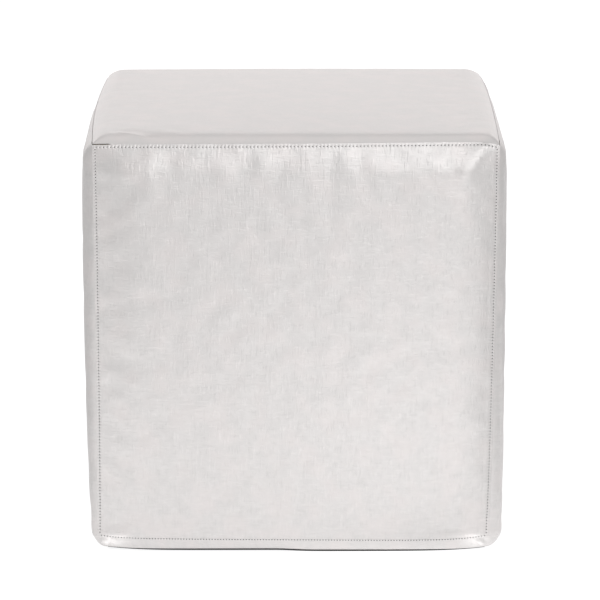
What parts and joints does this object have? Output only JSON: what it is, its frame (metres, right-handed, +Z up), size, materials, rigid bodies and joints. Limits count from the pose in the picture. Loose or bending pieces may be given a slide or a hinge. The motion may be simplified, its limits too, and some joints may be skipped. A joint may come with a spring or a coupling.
{
  "type": "cube pouf stool",
  "caption": "Filled cube stool in a sewn silver-white faux leather cover with topstitched front, drawn-in corners and turned-under bottom strips.",
  "frame": {"origin": "on the floor, under the middle of the stool", "axes": "+Z up, -Y towards the front panel, +X to the right as seen from the front"},
  "size_m": [0.4274, 0.4275, 0.4295],
  "materials": {
    "cover": "silver-white pearl faux leather with a soft metallic sheen and a fine mottled grain",
    "base_cloth": "dark matt woven base cloth",
    "filling": "foam filling, not seen"
  },
  "bodies": {
    "root": {"filled_core": "filling", "top_panel": "cover", "front_panel": "cover", "back_panel": "cover", "left_panel": "cover", "right_panel": "cover", "front_band": "cover", "back_band": "cover", "left_band": "cover", "right_band": "cover", "base_panel": "base_cloth"}
  },
  "joints": []
}
